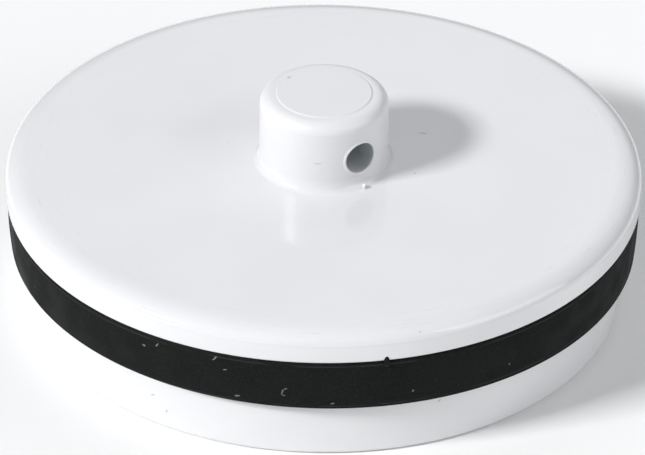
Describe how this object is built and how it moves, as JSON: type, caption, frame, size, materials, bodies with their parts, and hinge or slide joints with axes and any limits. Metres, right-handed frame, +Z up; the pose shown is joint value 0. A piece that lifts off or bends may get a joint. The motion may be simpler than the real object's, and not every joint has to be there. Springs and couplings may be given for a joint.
{
  "type": "basin drain plug",
  "caption": "Round white plastic drain plug for a basin, with a pierced knob in the middle and a black rubber seal band round its side.",
  "frame": {"origin": "middle of the flat rim that the plug stands on, at the level of that rim", "axes": "+Z up along the knob's axis, with the cross hole through the knob along Y"},
  "size_m": [0.046, 0.046, 0.0165],
  "materials": {
    "white_plastic": "glossy moulded plastic, slightly cool white",
    "black_rubber": "satin moulded rubber"
  },
  "bodies": {
    "root": {"plug_body": "white_plastic", "seal_band": "black_rubber"}
  },
  "joints": []
}
